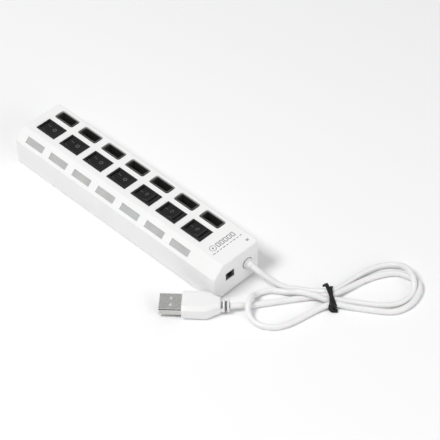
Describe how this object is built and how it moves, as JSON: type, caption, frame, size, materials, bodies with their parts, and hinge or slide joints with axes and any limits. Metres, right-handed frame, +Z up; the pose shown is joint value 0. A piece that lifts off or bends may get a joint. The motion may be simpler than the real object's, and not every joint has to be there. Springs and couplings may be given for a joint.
{
  "type": "usb hub",
  "caption": "Long white USB hub with upright sockets, a rocker switch and window lamp for each, a power inlet, and a cord with a USB plug tied in loops.",
  "frame": {"origin": "middle of the footprint, on the surface that the feet rest on", "axes": "+Z up; +X along the length, towards the end with the power inlet and the cord; +Y towards the edge with the sockets; the sloping face with the windows is on -Y"},
  "size_m": [0.2436, 0.1186, 0.025],
  "materials": {
    "housing": "fine moulded texture, near white",
    "screw_steel": "plain zinc plated",
    "feet_rubber": "matt",
    "board_laminate": "green solder mask",
    "socket_steel": "bright nickel plated sheet",
    "tongue_plastic": "plain",
    "switch_black": "satin",
    "rocker_black": "satin with printed on and off marks",
    "frosted_lens": "frosted, translucent",
    "gold_contacts": "gold flashed",
    "brass_blades": "plain",
    "lamp_body": "clear resin over white",
    "chip_black": "moulded epoxy",
    "crystal_can": "drawn can",
    "capacitor_sleeve": "shrink sleeve",
    "inlet_plastic": "plain",
    "inlet_metal": "nickel plated",
    "moulded_white": "soft moulded, near white",
    "lead_insulation": "thin insulation",
    "cord_jacket": "soft jacket, near white",
    "tie_black": "flat plastic over a wire",
    "plug_steel": "nickel plated sheet",
    "plug_white_core": "plain"
  },
  "bodies": {
    "hub": {"top_shell": "housing", "bottom_cover": "housing", "housing_screws": "screw_steel", "rubber_feet": "feet_rubber", "circuit_board": "board_laminate", "usb_socket_1": "socket_steel", "usb_tongue_1": "tongue_plastic", "switch_frame_1": "switch_black", "indicator_lens_1": "frosted_lens", "usb_socket_2": "socket_steel", "usb_tongue_2": "tongue_plastic", "switch_frame_2": "switch_black", "indicator_lens_2": "frosted_lens", "usb_socket_3": "socket_steel", "usb_tongue_3": "tongue_plastic", "switch_frame_3": "switch_black", "indicator_lens_3": "frosted_lens", "usb_socket_4": "socket_steel", "usb_tongue_4": "tongue_plastic", "switch_frame_4": "switch_black", "indicator_lens_4": "frosted_lens", "usb_socket_5": "socket_steel", "usb_tongue_5": "tongue_plastic", "switch_frame_5": "switch_black", "indicator_lens_5": "frosted_lens", "usb_socket_6": "socket_steel", "usb_tongue_6": "tongue_plastic", "switch_frame_6": "switch_black", "indicator_lens_6": "frosted_lens", "usb_socket_7": "socket_steel", "usb_tongue_7": "tongue_plastic", "switch_frame_7": "switch_black", "indicator_lens_7": "frosted_lens", "socket_contacts": "gold_contacts", "switch_blades": "brass_blades", "indicator_leds": "lamp_body", "power_led": "lamp_body", "hub_chips": "chip_black", "clock_crystals": "crystal_can", "capacitors": "capacitor_sleeve", "inlet_body": "inlet_plastic", "inlet_pin": "inlet_metal", "inner_leads": "lead_insulation", "cord_gland": "moulded_white", "cord_lead": "cord_jacket", "cord_hank": "cord_jacket", "cord_tail": "cord_jacket", "wire_tie": "tie_black", "plug_grip": "moulded_white", "strain_relief": "moulded_white", "plug_shell": "plug_steel", "plug_core": "plug_white_core", "plug_contacts": "gold_contacts"},
    "rocker_1": {"rocker_1": "rocker_black"},
    "rocker_2": {"rocker_2": "rocker_black"},
    "rocker_3": {"rocker_3": "rocker_black"},
    "rocker_4": {"rocker_4": "rocker_black"},
    "rocker_5": {"rocker_5": "rocker_black"},
    "rocker_6": {"rocker_6": "rocker_black"},
    "rocker_7": {"rocker_7": "rocker_black"}
  },
  "joints": [
    {"name": "switch_1", "type": "hinge", "parent": "hub", "child": "rocker_1", "pos_m": [-0.0675, -0.0011, 0.018], "axis": [0, 1, 0], "range_deg": [-21, 0]},
    {"name": "switch_2", "type": "hinge", "parent": "hub", "child": "rocker_2", "pos_m": [-0.0475, -0.0011, 0.018], "axis": [0, 1, 0], "range_deg": [-21, 0]},
    {"name": "switch_3", "type": "hinge", "parent": "hub", "child": "rocker_3", "pos_m": [-0.0275, -0.0011, 0.018], "axis": [0, 1, 0], "range_deg": [-21, 0]},
    {"name": "switch_4", "type": "hinge", "parent": "hub", "child": "rocker_4", "pos_m": [-0.0075, -0.0011, 0.018], "axis": [0, 1, 0], "range_deg": [-21, 0]},
    {"name": "switch_5", "type": "hinge", "parent": "hub", "child": "rocker_5", "pos_m": [0.0125, -0.0011, 0.018], "axis": [0, 1, 0], "range_deg": [0, 21]},
    {"name": "switch_6", "type": "hinge", "parent": "hub", "child": "rocker_6", "pos_m": [0.0325, -0.0011, 0.018], "axis": [0, 1, 0], "range_deg": [0, 21]},
    {"name": "switch_7", "type": "hinge", "parent": "hub", "child": "rocker_7", "pos_m": [0.0525, -0.0011, 0.018], "axis": [0, 1, 0], "range_deg": [0, 21]}
  ]
}
